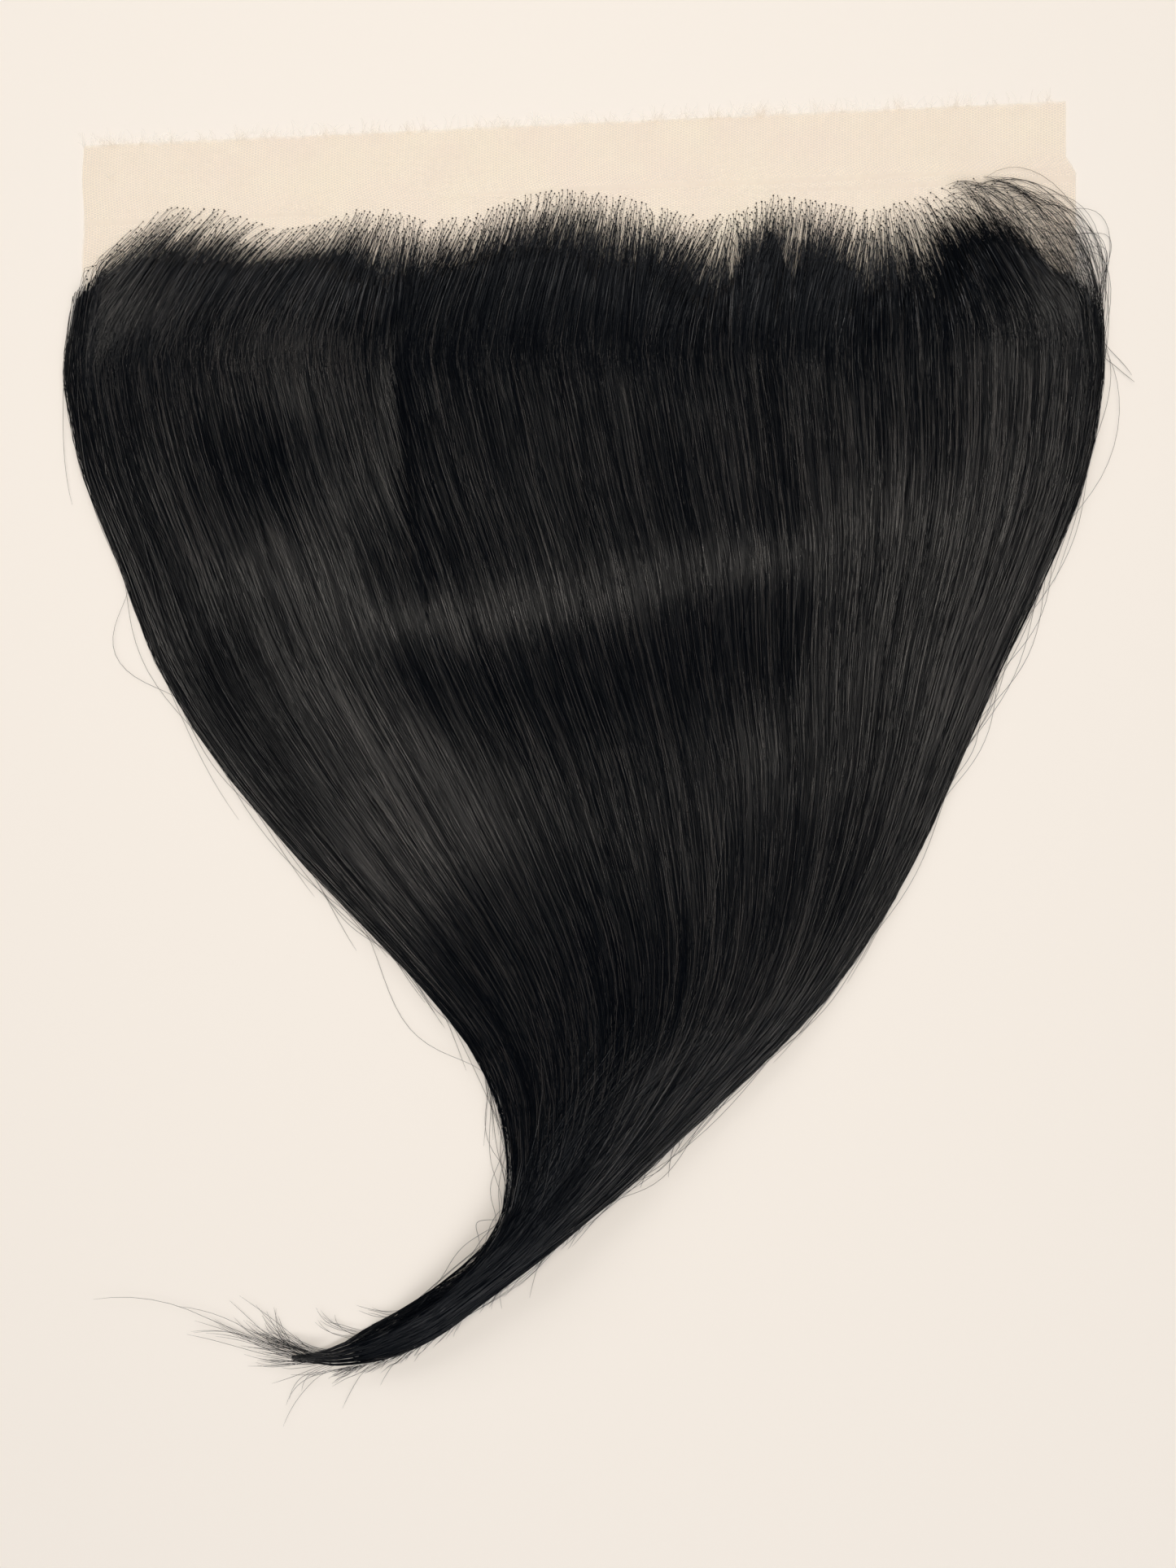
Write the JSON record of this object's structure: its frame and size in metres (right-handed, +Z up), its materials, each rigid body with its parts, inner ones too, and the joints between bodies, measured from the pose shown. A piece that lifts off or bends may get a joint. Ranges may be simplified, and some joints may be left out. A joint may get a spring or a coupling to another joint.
{
  "type": "lace frontal",
  "caption": "Strip of fine sheer net with straight black hair knotted in behind a bare front margin; the hair lies flat in locks that run together in one curved, tapering tail.",
  "frame": {"origin": "on the underside of the net, below the middle of the mean hairline", "axes": "+Z up from the surface it lies on, +Y towards the cut front edge of the net, +X to the right; the hair falls towards -Y"},
  "size_m": [0.346, 0.4279, 0.015],
  "materials": {
    "net": "sheer matt net",
    "hair": "straight black hair, satin sheen"
  },
  "bodies": {
    "root": {"lace_net": "net", "lock_left_edge": "hair", "lock_left": "hair", "lock_centre_left": "hair", "lock_centre_right": "hair", "lock_right": "hair", "lock_right_edge": "hair", "tail": "hair"}
  },
  "joints": []
}
